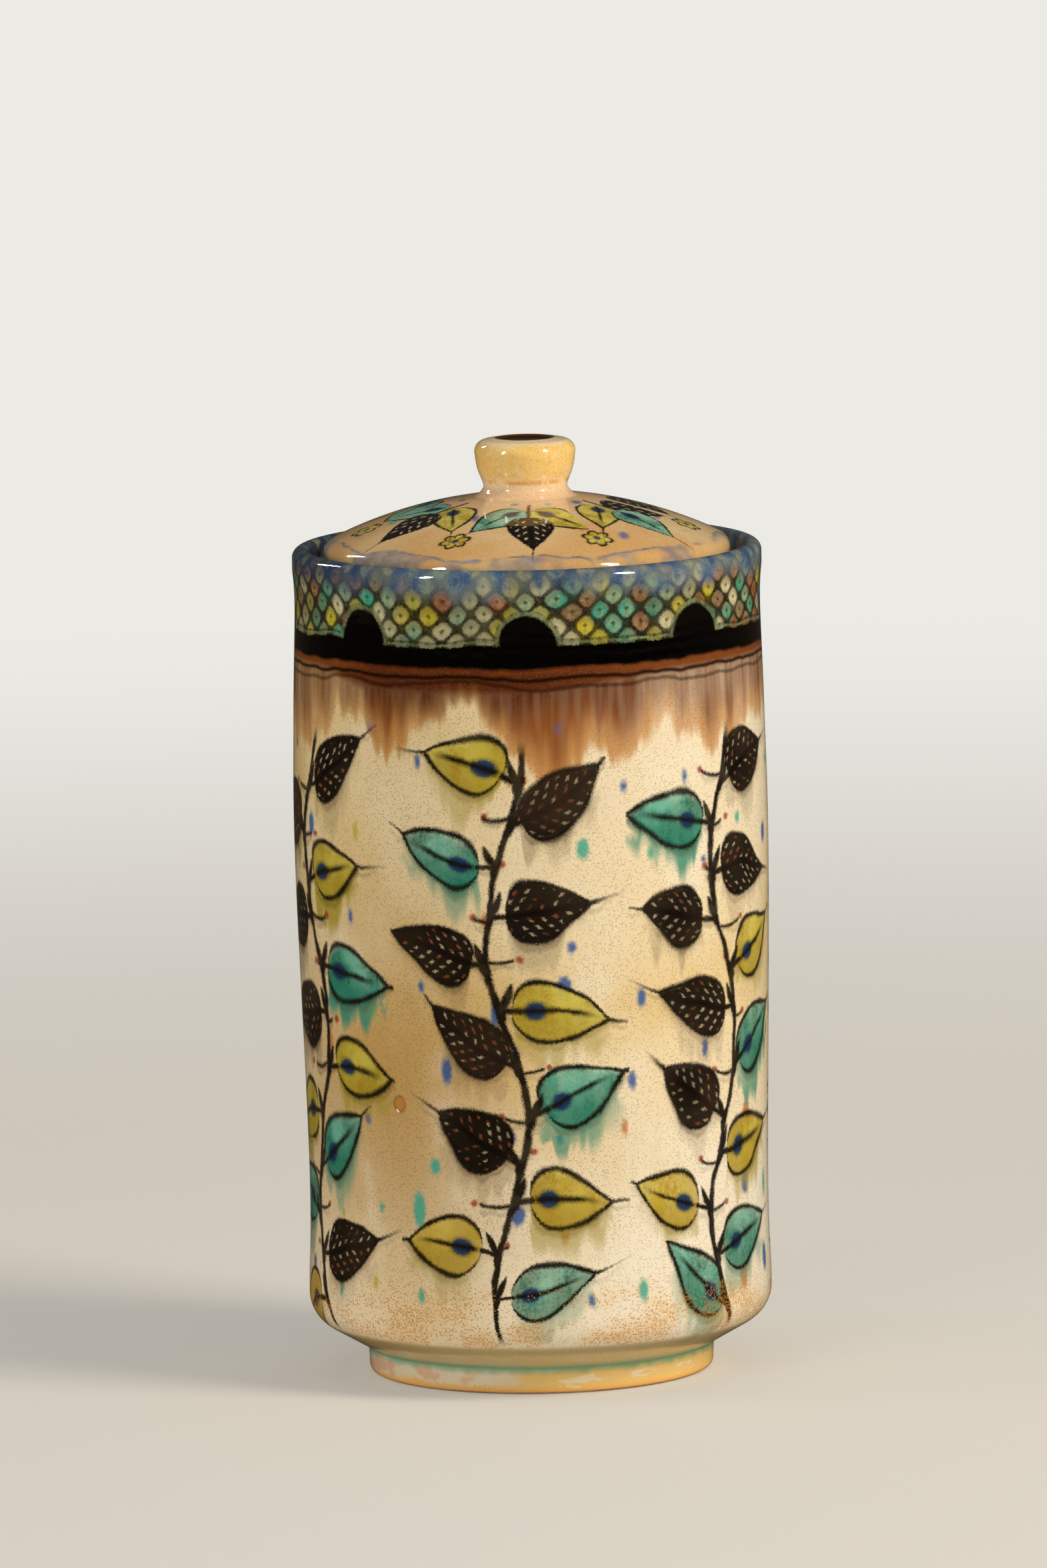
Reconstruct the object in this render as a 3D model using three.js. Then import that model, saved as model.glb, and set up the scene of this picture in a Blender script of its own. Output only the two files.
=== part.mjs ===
// Lidded chocolate jar of glazed pottery, in millimetres, +Z up.
// The jar is thrown as a tall cylinder with a turned foot ring and a gallery inside its rim.
// The domed lid drops in, rests on the gallery and is kept central by a locating flange.
// The knob is thrown by itself and luted onto the crown of the lid.
// The origin is the middle of the foot ring's resting face.
import * as THREE from 'three';
import { mergeVertices } from 'three/addons/utils/BufferGeometryUtils.js';

// Foot ring and floor
const footRadius = 44.1; // outside, where it rests
const footTopRadius = 44.4; // outside, where the heel springs from it
const footHeight = 6.8;
const footRingWidth = 6;
const footRingDraft = 0.8; // the inside of the ring leans this far outwards going down
const footRound = 1.8; // of the ring's outer bottom edge
const recessDepth = 5.2; // turned out under the floor
const floorThickness = 6.8;
const floorCornerRadius = 12; // inside, between floor and wall

// Heel: the turned bevel between foot ring and wall
const heelAngle = 30; // degrees above horizontal
const heelRound = 9;

// Wall: outside radii of the thrown cylinder from bottom to top, and where they lie
const wallBottomRadius = 59.5;
const wallBottomHeight = 24.7;
const waistRadius = 59;
const waistHeight = 52.7;
const bellyRadius = 60.9;
const bellyHeight = 131.7;
const shoulderRadius = 60.4;
const shoulderHeight = 170.7;
const neckRadius = 59.6; // the wall draws in a little under the lip
const neckHeight = 197.7;
const lipRadius = 60.1;
const lipHeight = 207.7; // where the wall ends and the lip's rounding begins
const wallThickness = 5.2;

// Lip and gallery
const jarHeight = 213.1; // crest of the lip
const lipThickness = 4;
const lipOuterRound = 2.5;
const lipInnerRound = 1.3;
const galleryDepth = 5.3; // from the crest down to the ledge
const galleryWidth = 9.2; // of the ledge, from the lip's inner face inwards
const galleryThickness = 4.6; // of the ledge at its nose
const galleryNoseRound = 1.6;
const galleryUnderslope = 50; // degrees below horizontal, running back to the wall
const galleryCornerRound = 0.9;

// Lid
const lidGap = 4.1; // all round, between the lid and the lip's inner face
const lidEdgeRound = 3.5; // radius of the thick rounded edge
const crownRadius = 114; // of the dome's outside
const lidThickness = 5;
const flangeDepth = 9; // of the locating flange below the lid's seat
const flangeThickness = 4.2;
const flangeRound = 1.4;
const flangeRootRound = 3;
const seatGap = 0.3; // unglazed seat of the lid above the gallery
const flangeClearance = 1.2; // all round, between the flange and the gallery's nose

// Knob
const lutingGap = 0.3; // slip layer between knob and crown
const knobFootRadius = 13.2;
const knobFootEdge = 0.4;
const knobNeckRadius = 10.75;
const knobNeckHeight = 2.7; // above the knob's foot
const knobRadius = 12.9; // at its widest
const knobFlare = 0.7; // share of the flare reached halfway from neck to widest
const knobWidestHeight = 10.9;
const knobHeight = 14.6;
const knobTopRound = 3;
const knobTopDrop = 0.9; // the top ring falls this much from the hollow to the edge
const dishRadius = 7.4; // glazed hollow in the knob's top
const dishDepth = 0.7;
const dishSlope = 1.3; // width of the hollow's sloping side

// Fineness of the facets
const jarSides = 60;
const knobSides = 40;
const wallSteps = 10;
const crownSteps = 9;
const hollowSteps = 5;
const edgeSteps = 7;
const flareSteps = 8;
const facetSag = 0.08; // how far a facet may cut inside a fillet's arc

const radians = THREE.MathUtils.degToRad;

// Points of an arc in the plane of radius and height, from one angle to another
function arc(centre, radius, from, to, steps) {
  return Array.from({ length: steps + 1 }, (_, i) => {
    const angle = from + ((to - from) * i) / steps;
    return new THREE.Vector2(Math.cos(angle), Math.sin(angle)).multiplyScalar(radius).add(centre);
  });
}

// One corner of an outline: radius, height and the fillet that rounds it
function corner(radius, height, fillet = 0) {
  return Object.assign(new THREE.Vector2(radius, height), { fillet });
}

// An outline through its corners, with each fillet drawn as an arc tangent to both sides
function roundedOutline(corners) {
  return corners.flatMap((at, i) => {
    if (!at.fillet) return [new THREE.Vector2(at.x, at.y)];
    const back = corners[i - 1].clone().sub(at).normalize();
    const ahead = corners[i + 1].clone().sub(at).normalize();
    const half = back.angleTo(ahead) / 2;
    const centre = back.clone().add(ahead).setLength(at.fillet / Math.sin(half)).add(at);
    const reach = at.fillet / Math.tan(half);
    const start = back.multiplyScalar(reach).add(at).sub(centre).angle();
    const turn = Math.sign(corners[i + 1].clone().sub(at).cross(at.clone().sub(corners[i - 1])));
    const sweep = -turn * (Math.PI - 2 * half);
    const facet = 2 * Math.acos(Math.max(0, 1 - facetSag / at.fillet));
    const steps = Math.max(2, Math.ceil(Math.abs(sweep) / facet));
    return arc(centre, at.fillet, start, start + sweep, steps);
  });
}

// A closed solid of revolution about Z from an outline that starts and ends on the axis
function turned(outline, sides) {
  const lathe = new THREE.LatheGeometry(outline, sides).rotateX(Math.PI / 2);
  lathe.deleteAttribute('normal');
  lathe.deleteAttribute('uv');
  const solid = mergeVertices(lathe, 1e-4);
  const kept = [];
  const index = solid.index.array;
  for (let i = 0; i < index.length; i += 3) {
    const [a, b, c] = index.slice(i, i + 3);
    if (a !== b && b !== c && c !== a) kept.push(a, b, c); // leaves out the slivers at the poles
  }
  solid.setIndex(kept);
  solid.computeVertexNormals();
  return solid;
}

// Outside of the wall, a gentle hand-thrown curve through the named radii
const wallCurve = new THREE.SplineCurve([
  new THREE.Vector2(wallBottomRadius, wallBottomHeight),
  new THREE.Vector2(waistRadius, waistHeight),
  new THREE.Vector2(bellyRadius, bellyHeight),
  new THREE.Vector2(shoulderRadius, shoulderHeight),
  new THREE.Vector2(neckRadius, neckHeight),
  new THREE.Vector2(lipRadius, lipHeight),
]).getPoints(wallSteps);

// The gallery and all that follows from it
const lipInnerRadius = lipRadius - lipThickness;
const galleryHeight = jarHeight - galleryDepth;
const galleryRadius = lipInnerRadius - galleryWidth;
const galleryUnderside = galleryHeight - galleryThickness;

function jarOutline() {
  const footInnerRadius = footRadius - footRingWidth;
  const floorHeight = recessDepth + floorThickness;
  const heelHeight = footHeight + (wallBottomRadius - footTopRadius) * Math.tan(radians(heelAngle));
  const heelTop = heelHeight + heelRound;
  const innerBottomRadius = wallBottomRadius - wallThickness;
  const innerTopRadius = lipRadius - wallThickness;
  const slopeDrop = (innerTopRadius - galleryRadius) * Math.tan(radians(galleryUnderslope));
  const slopeEnd = galleryUnderside - slopeDrop;
  const outside = wallCurve.filter((p) => p.y > heelTop);
  const inside = wallCurve
    .filter((p) => p.y > floorHeight + floorCornerRadius && p.y < slopeEnd - galleryNoseRound)
    .map((p) => corner(p.x - wallThickness, p.y))
    .reverse();
  return roundedOutline([
    corner(0, recessDepth),
    corner(footInnerRadius, recessDepth, recessDepth / 3),
    corner(footInnerRadius + footRingDraft, 0),
    corner(footRadius, 0, footRound),
    corner(footTopRadius, footHeight, footRingDraft),
    corner(wallBottomRadius, heelHeight, heelRound),
    ...outside,
    corner(lipRadius, jarHeight, lipOuterRound),
    corner(lipInnerRadius, jarHeight, lipInnerRound),
    corner(lipInnerRadius, galleryHeight, galleryCornerRound),
    corner(galleryRadius, galleryHeight, galleryNoseRound),
    corner(galleryRadius, galleryUnderside, galleryNoseRound),
    corner(innerTopRadius, slopeEnd, galleryNoseRound),
    ...inside,
    corner(innerBottomRadius, floorHeight, floorCornerRadius),
    corner(0, floorHeight),
  ]);
}

// The lid's edge is a full round resting on the gallery; the crown's arc runs tangent into it
const lidSeat = galleryHeight + seatGap;
const lidRadius = lipInnerRadius - lidGap;
const edgeCentre = new THREE.Vector2(lidRadius - lidEdgeRound, lidSeat + lidEdgeRound);
const crownDrop = Math.sqrt((crownRadius - lidEdgeRound) ** 2 - edgeCentre.x ** 2);
const crownCentre = new THREE.Vector2(0, edgeCentre.y - crownDrop);

function crownHeight(radius, depth = 0) {
  return crownCentre.y + Math.sqrt((crownRadius - depth) ** 2 - radius ** 2);
}

function lidOutline() {
  const flangeRadius = galleryRadius - flangeClearance;
  const hollowRadius = flangeRadius - flangeThickness;
  const hollowEdge = hollowRadius - flangeRootRound;
  const edgeAngle = edgeCentre.clone().sub(crownCentre).angle();
  const hollowAngle = Math.acos(hollowEdge / (crownRadius - lidThickness));
  const up = Math.PI / 2;
  return roundedOutline([
    ...arc(crownCentre, crownRadius - lidThickness, up, hollowAngle, hollowSteps),
    corner(hollowRadius, crownHeight(hollowRadius, lidThickness), flangeRootRound),
    corner(hollowRadius, lidSeat - flangeDepth, flangeRound),
    corner(flangeRadius, lidSeat - flangeDepth, flangeRound),
    corner(flangeRadius, lidSeat),
    ...arc(edgeCentre, lidEdgeRound, -up, edgeAngle, edgeSteps),
    ...arc(crownCentre, crownRadius, edgeAngle, up, crownSteps).slice(1),
  ]);
}

function knobOutline() {
  const seat = (radius) => crownHeight(radius) + lutingGap;
  const foot = seat(knobFootRadius);
  const top = foot + knobHeight;
  const flare = new THREE.SplineCurve([
    new THREE.Vector2(knobFootRadius, foot + knobFootEdge),
    new THREE.Vector2(knobNeckRadius, foot + knobNeckHeight),
    new THREE.Vector2(
      THREE.MathUtils.lerp(knobNeckRadius, knobRadius, knobFlare),
      foot + (knobNeckHeight + knobWidestHeight) / 2
    ),
    new THREE.Vector2(knobRadius, foot + knobWidestHeight),
  ]);
  return roundedOutline([
    corner(0, seat(0)),
    corner(knobFootRadius / 2, seat(knobFootRadius / 2)),
    corner(knobFootRadius, foot),
    ...flare.getPoints(flareSteps),
    corner(knobRadius, top - knobTopDrop, knobTopRound),
    corner(dishRadius, top),
    corner(dishRadius - dishSlope, top - dishDepth, dishDepth),
    corner(0, top - dishDepth),
  ]);
}

function piece(name, outline, sides, material) {
  const mesh = new THREE.Mesh(turned(outline, sides), new THREE.MeshStandardMaterial(material));
  mesh.name = name;
  return mesh;
}

const glaze = { roughness: 0.16, metalness: 0 };

const lidGroup = new THREE.Group();
lidGroup.add(
  piece('lid', lidOutline(), jarSides, { ...glaze, color: 0xd9b987 }),
  piece('lid_knob', knobOutline(), knobSides, { ...glaze, color: 0xdba75c })
);

const chocolateJar = new THREE.Group();
chocolateJar.add(piece('jar', jarOutline(), jarSides, { ...glaze, color: 0xddcda0 }), lidGroup);

export default chocolateJar;
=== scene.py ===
# Lidded jar of thrown pottery, painted under a clear glaze: its clay, brushwork and glazes
import math

import bpy
from mathutils import Matrix, Vector


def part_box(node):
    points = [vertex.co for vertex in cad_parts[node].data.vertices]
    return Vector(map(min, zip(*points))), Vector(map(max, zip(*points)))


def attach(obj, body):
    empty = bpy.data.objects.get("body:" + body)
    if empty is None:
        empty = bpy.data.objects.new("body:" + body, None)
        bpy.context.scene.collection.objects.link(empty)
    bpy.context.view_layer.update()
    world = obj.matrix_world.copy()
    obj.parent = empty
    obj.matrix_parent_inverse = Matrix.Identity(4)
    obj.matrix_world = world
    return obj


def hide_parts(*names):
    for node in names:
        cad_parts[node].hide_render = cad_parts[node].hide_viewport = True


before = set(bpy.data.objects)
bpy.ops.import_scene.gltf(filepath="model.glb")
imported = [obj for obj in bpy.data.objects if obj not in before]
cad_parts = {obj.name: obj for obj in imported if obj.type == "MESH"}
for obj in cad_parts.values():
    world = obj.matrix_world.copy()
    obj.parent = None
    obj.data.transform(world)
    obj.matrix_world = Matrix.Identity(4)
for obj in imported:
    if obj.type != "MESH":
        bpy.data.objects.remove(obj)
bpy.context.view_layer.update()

mm = 0.001
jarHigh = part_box("jar")[1]
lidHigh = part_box("lid")[1]
knobLow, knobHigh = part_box("lid_knob")
print("frame loaded")


# Helpers for node trees

def wireFirst(operation):
    return lambda wire, other: mathNode(operation, wire, other)


def wireLast(operation):
    return lambda wire, other: mathNode(operation, other, wire)


class Wire:
    # One output in a node tree. Arithmetic on wires adds Math nodes to that tree.
    __add__ = wireFirst("ADD")
    __radd__ = wireLast("ADD")
    __sub__ = wireFirst("SUBTRACT")
    __rsub__ = wireLast("SUBTRACT")
    __mul__ = wireFirst("MULTIPLY")
    __rmul__ = wireLast("MULTIPLY")
    __truediv__ = wireFirst("DIVIDE")
    __pow__ = wireFirst("POWER")

    def __init__(self, socket):
        self.socket = socket
        self.tree = socket.id_data

    def __neg__(self):
        return self * -1.0


def socketOf(sockets, label):
    if isinstance(label, int):
        return sockets[label]
    return next(s for s in sockets if s.name == label and s.enabled)


def plug(socket, value):
    if isinstance(value, Wire):
        socket.id_data.links.new(value.socket, socket)
    else:
        socket.default_value = value


def addNode(tree, kind, inputs=None, **settings):
    node = tree.nodes.new(kind)
    for name, value in settings.items():
        setattr(node, name, value)
    for label, value in (inputs or {}).items():
        plug(socketOf(node.inputs, label), value)
    return node


def out(node, label=0):
    return Wire(socketOf(node.outputs, label))


def treeOf(*values):
    return next(v.tree for v in values if isinstance(v, Wire))


def mathNode(operation, *values):
    return out(addNode(treeOf(*values), "ShaderNodeMath", dict(enumerate(values)), operation=operation))


def mathTool(operation):
    return lambda *values: mathNode(operation, *values)


absolute = mathTool("ABSOLUTE")
signOf = mathTool("SIGN")
root = mathTool("SQRT")
sine = mathTool("SINE")
cosine = mathTool("COSINE")
arcTangent = mathTool("ARCTAN2")
floorOf = mathTool("FLOOR")
fraction = mathTool("FRACT")
wrapped = mathTool("FLOORED_MODULO")
smaller = mathTool("MINIMUM")
isMore = mathTool("GREATER_THAN")
isLess = mathTool("LESS_THAN")


def larger(value, *others):
    for other in others:
        value = mathNode("MAXIMUM", value, other)
    return value


def isNear(value, target):
    return mathNode("COMPARE", value, target, 0.5)


def lengthOf(x, y):
    return root(x * x + y * y)


def smooth(value, start, end):
    # 0 at start and 1 at end, with soft shoulders; start may be the larger one
    inputs = {"Value": value, "From Min": start, "From Max": end}
    return out(addNode(value.tree, "ShaderNodeMapRange", inputs, interpolation_type="SMOOTHSTEP"))


def ridge(value, start, end):
    # The same on both sides of zero: a ridge, or a groove where start is the smaller one
    return smooth(absolute(value), start, end)


def combined(x, y, z=0.0):
    return out(addNode(treeOf(x, y, z), "ShaderNodeCombineXYZ", {"X": x, "Y": y, "Z": z}))


def separated(vector):
    node = addNode(vector.tree, "ShaderNodeSeparateXYZ", {"Vector": vector})
    return [Wire(s) for s in node.outputs]


def channels(color):
    node = addNode(color.tree, "ShaderNodeSeparateColor", {"Color": color})
    return [Wire(s) for s in node.outputs]


def noiseAt(place, size, detail=1.0, upright=1.0, output="Fac"):
    # Soft noise whose features are about size millimetres across, and taller where upright is below 1
    if upright != 1:
        squeeze = {0: place, 1: (1, 1, upright)}
        place = out(addNode(place.tree, "ShaderNodeVectorMath", squeeze, operation="MULTIPLY"))
    inputs = {"Vector": place, "Scale": 1 / size, "Detail": detail}
    return out(addNode(place.tree, "ShaderNodeTexNoise", inputs), output)


def patches(place, size, detail, start, end, upright=1.0):
    return smooth(noiseAt(place, size, detail, upright), start, end)


def cellsAt(place, size):
    # Distance to the nearest of scattered points about size millimetres apart, and that point's random colour
    node = addNode(place.tree, "ShaderNodeTexVoronoi", {"Vector": place, "Scale": 1 / size})
    return out(node, "Distance"), channels(out(node, "Color"))


def randomAt(x, y, z):
    spot = combined(x, y, z)
    return channels(out(addNode(spot.tree, "ShaderNodeTexWhiteNoise", {"Vector": spot}), "Color"))


def tone(code):
    # A colour written as six hex digits, as a painter's chart gives it
    parts = [int(code[i:i + 2], 16) / 255 for i in (0, 2, 4)]
    return tuple(p / 12.92 if p < 0.04045 else ((p + 0.055) / 1.055) ** 2.4 for p in parts) + (1.0,)


def blend(amount, under, over, mode="MIX"):
    tree = treeOf(amount, under, over)
    inputs = {0: amount, "A": under, "B": over}
    return out(addNode(tree, "ShaderNodeMix", inputs, data_type="RGBA", blend_type=mode), "Result")


def colorSteps(pick, steps):
    # One flat colour for each range of pick; a step is (hex code, start of its range)
    ramp = addNode(pick.tree, "ShaderNodeValToRGB", {"Fac": pick})
    ramp.color_ramp.interpolation = "CONSTANT"
    for i, (code, start) in enumerate(steps):
        stop = ramp.color_ramp.elements[i] if i < 2 else ramp.color_ramp.elements.new(start)
        stop.position = start
        stop.color = tone(code)
    return out(ramp, "Color")


def clearTree(owner):
    owner.use_nodes = True
    owner.node_tree.nodes.clear()
    return owner.node_tree


def newGroup(name, **inputs):
    # The new tree and its inputs. One without a value is a place in millimetres, and the others are numbers.
    tree = bpy.data.node_groups.new(name, "ShaderNodeTree")
    for label, value in inputs.items():
        kind = "NodeSocketVector" if value is None else "NodeSocketFloat"
        socket = tree.interface.new_socket(label, in_out="INPUT", socket_type=kind)
        if value is not None:
            socket.default_value = value
    return tree, *(Wire(s) for s in tree.nodes.new("NodeGroupInput").outputs if s.name)


def finishGroup(tree, **outputs):
    for label in outputs:
        kind = "NodeSocketColor" if label == "Color" else "NodeSocketFloat"
        tree.interface.new_socket(label, in_out="OUTPUT", socket_type=kind)
    addNode(tree, "NodeGroupOutput", outputs)
    return tree


def useGroup(group, **inputs):
    node = addNode(treeOf(*inputs.values()), "ShaderNodeGroup", inputs, node_tree=group)
    return {s.name: Wire(s) for s in node.outputs}


# Shader groups for the glazes

def makeUnrolled():
    # Where a point lies on the turned form: its angle from the front, its radius and its height
    tree, place = newGroup("unrolledPlace", Place=None)
    x, y, z = separated(place)
    return finishGroup(tree, Angle=arcTangent(x, -y), Radius=lengthOf(x, y), Height=z)


def makeBrushHand():
    # How far the painter's hand, the melting glaze and loose grains of pigment move a mark, in millimetres
    tree, place, *reaches = newGroup("brushHand", Place=None, Drift=2.0, Feather=0.14, Powder=0.42)
    # Size, detail and uprightness of the drift, the feathering and the powder
    kinds = ((17, 1, 1), (0.9, 1, 0.45), (0.3, 0, 1))
    noises = [channels(noiseAt(place, *kind, "Color")) for kind in kinds]

    def shiftOf(channel):
        return sum((noise[channel] - 0.5) * reach * 2 for noise, reach in zip(noises, reaches))

    return finishGroup(
        tree,
        Sideways=shiftOf(0),
        Upward=shiftOf(1),
        Run=patches(place, 4.4, 1.5, 0.25, 0.75, 0.1),
        Weight=patches(place, 6, 1, 0.3, 0.7) * 0.35 + smooth(noises[1][2], 0.3, 0.7) * 0.15,
    )


def makeIronSpecks():
    # Iron in the clay burning through the glaze: fine pepper and a few larger spots
    tree, place, amount = newGroup("ironSpecks", Place=None, Amount=0.5)
    away, (pick, _, _) = cellsAt(place, 0.5)
    fine = smooth(away, 0.55, 0.2) * smooth(pick, 0.15, 0.85)
    fine = fine * (patches(place, 14, 2, 0.35, 0.65) * 0.35 + 0.65)
    away, (pick, size, _) = cellsAt(place, 3.6)
    spot = smooth(away, size * size * 0.08 + 0.05, size * 0.03)
    return finishGroup(
        tree,
        Fine=fine * amount,
        Coarse=spot * smooth(pick, 0.8, 0.9) * amount,
    )


def makeGlazeRelief():
    # Height of the fired glaze: slow swells, faint turning rings and a fine orange peel
    tree, place, pitch, peel = newGroup("glazeRelief", Place=None, Pitch=3.1, Peel=0.12)
    z = separated(place)[2]
    rings = sine((z + noiseAt(place, 30, 1) * 6) * (2 * math.pi) / pitch) * 0.018
    return finishGroup(tree, Height=noiseAt(place, 22, 2, 0.5) + rings + noiseAt(place, 1.9, 1) * peel)


def makeGrain():
    # Pigment that gathers in grains and brush streaks inside a wash
    tree, place, streaked = newGroup("pigmentGrain", Place=None, Streak=0.5)
    grain = (noiseAt(place, 0.8, 2) - 0.5) * 1.6
    cloud = (noiseAt(place, 7, 2) - 0.5) * 1.3
    streak = (noiseAt(place, 2.1, 2, 0.16) - 0.5) * 2.4 * streaked
    return finishGroup(tree, Density=grain + cloud + streak + 0.72)


splashTones = (("2a62a6", 0.0), ("45b39d", 0.38), ("c9834e", 0.64), ("c3bb4c", 0.82))


def makeSplashes(tones):
    # Stray drops of colour, at most one in each cell of a grid, most of them longer than wide
    tree, x, y, pitch, count, share = newGroup(
        "colorSplashes", Across=0.0, Along=0.0, Pitch=18.0, Count=20.0, Share=0.5)
    across = x / pitch
    along = y / pitch
    column = wrapped(floorOf(across), count)
    row = floorOf(along)
    pick, size, hue = randomAt(column, row, 2.0)
    shiftX, shiftY, tall = randomAt(column, row, 7.0)
    offX = fraction(across) - 0.2 - shiftX * 0.6
    offY = (fraction(along) - 0.2 - shiftY * 0.6) * (0.36 + tall * 0.4)
    away = lengthOf(offX, offY) * pitch + (noiseAt(combined(x, y), 1.1, 1) - 0.5) * 0.9
    radius = 0.8 + size * size * 1.2
    return finishGroup(
        tree,
        Mask=smooth(away, radius + 0.6, radius - 0.7) * smooth(pick, share, share - 0.02),
        Color=colorSteps(hue, tones),
    )


def makeLeaf():
    # One brushed leaf growing up its own Along axis, with its outline, midrib and side veins
    tree, across, along, length, width, soft, weight = newGroup(
        "brushedLeaf", Across=0.0, Along=0.0, Length=17.0, Width=9.0, Softness=0.3, Weight=0.3)
    across = absolute(across)
    share = along / length
    inside = smaller(larger(share, 0.0), 1.0)
    edge = across - width * 1.48 * inside ** 0.5 * (1 - inside) ** 1.05
    heavy = (weight * 1.3 + soft * 0.85 + 0.28) * (1 - smooth(share, 0.8, 1.3) * 0.5)
    line = ridge(edge + 0.1, heavy, weight * 0.5 + 0.08)
    rib = smooth(across, heavy, weight * 0.3) * smooth(share, 0.95, 0.6)
    chevron = ridge(fraction((along - across * 0.9) / 3.3) - 0.5, 0.21, 0.08)
    dashes = ridge(fraction(across / 1.9 + 0.2) - 0.5, 0.2, 0.3)
    dab = (share - 0.24) * length / 2.1
    dab = dab * dab + (across / 1.6) ** 2
    return finishGroup(
        tree,
        Body=smooth(edge, soft, -soft) * smooth(share, -0.02, 0.02) * smooth(share, 1.04, 0.98),
        Outline=line * smooth(share, -0.04, 0.02) * smooth(share, 1.5, 1.0),
        Rib=rib * smooth(share, 0.0, 0.1),
        Veins=chevron * smooth(across, 0.5, 0.9) * smooth(edge, -0.5, -1.1) * dashes,
        Dab=smooth(dab, 2.2 + soft * 2, 0.3),
    )


def makeFlower():
    # A small round flower of six petals with a dark heart
    tree, x, y, size, turn, soft = newGroup("brushedFlower", X=0.0, Y=0.0, Size=6.0, Turn=0.0, Softness=0.3)
    radius = lengthOf(x, y)
    petal = absolute(sine(arcTangent(y, x) * 3 + turn))
    edge = radius - size * (0.62 + petal ** 0.7 * 0.38)
    body = smooth(edge, soft, -soft)
    seam = smooth(petal, 0.28, 0.06) * smooth(radius, size * 0.3, size * 0.42)
    return finishGroup(
        tree,
        Body=body,
        Outline=larger(ridge(edge, 0.6 + soft, 0.12), seam * body),
        Heart=smooth(radius, size * 0.26 + soft, size * 0.2),
    )


unrolled = makeUnrolled()
brushHand = makeBrushHand()
ironSpecks = makeIronSpecks()
glazeRelief = makeGlazeRelief()
pigmentGrain = makeGrain()
colorSplashes = makeSplashes(splashTones)
brushedLeaf = makeLeaf()
brushedFlower = makeFlower()
print("shader groups ready")


# Patterns laid over the unrolled forms, in millimetres

sprayLayout = {
    "wallRadius": 60.0,
    "columns": 6,
    "firstStem": -0.12,
    "stemSway": 5.0,
    "stemWave": 92.0,
    "leafPitch": 24.5,
    "firstLeaf": 20.0,
    "lastLeaf": 162.0,
    "leafStalk": 5.6,
    "leafLength": 22.5,
    "leafWidth": 13.6,
    "leanSpread": 0.75,
    "leastLean": -0.12,
    "bractLength": 6.5,
    "bractWidth": 2.9,
    "berryReach": 5.0,
    "berrySize": 0.85,
}


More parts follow.
